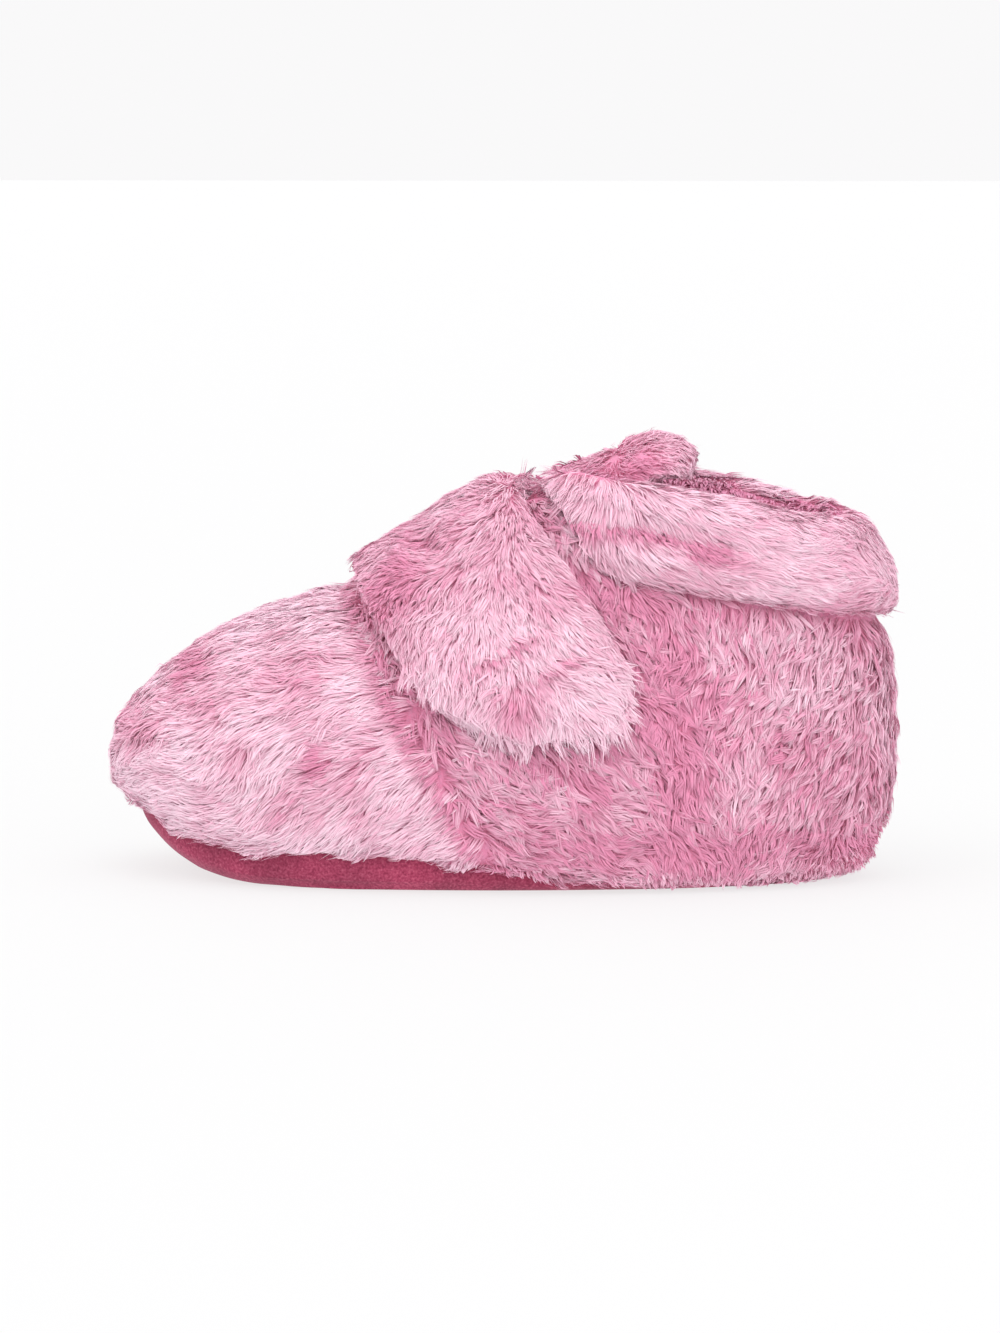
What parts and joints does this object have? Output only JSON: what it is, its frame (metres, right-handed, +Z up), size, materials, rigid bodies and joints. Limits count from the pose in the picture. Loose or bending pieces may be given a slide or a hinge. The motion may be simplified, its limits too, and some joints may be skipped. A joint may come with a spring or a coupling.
{
  "type": "bootie slipper",
  "caption": "Infant's plush fleece bootie slipper: hollow upper with a turned-down cuff, padded tongue, strap over the instep and a soft suede sole turned up at its edge.",
  "frame": {"origin": "on the floor, under the flat of the sole, midway along the upper's length and on its middle plane", "axes": "+X towards the toe, +Y towards the outer side of the left foot, +Z up"},
  "size_m": [0.1272, 0.0714, 0.0711],
  "materials": {
    "suede": "soft rose suede, matt nap",
    "insole_fleece": "short pink fleece",
    "plush_fleece": "deep pink pile",
    "cuff_fleece": "deep pale pink pile",
    "tongue_fleece": "deep pink pile",
    "strap_fleece": "deep pink pile"
  },
  "bodies": {
    "root": {"outsole": "suede", "insole": "insole_fleece", "upper": "plush_fleece", "cuff": "cuff_fleece", "tongue": "tongue_fleece", "strap": "strap_fleece"}
  },
  "joints": []
}
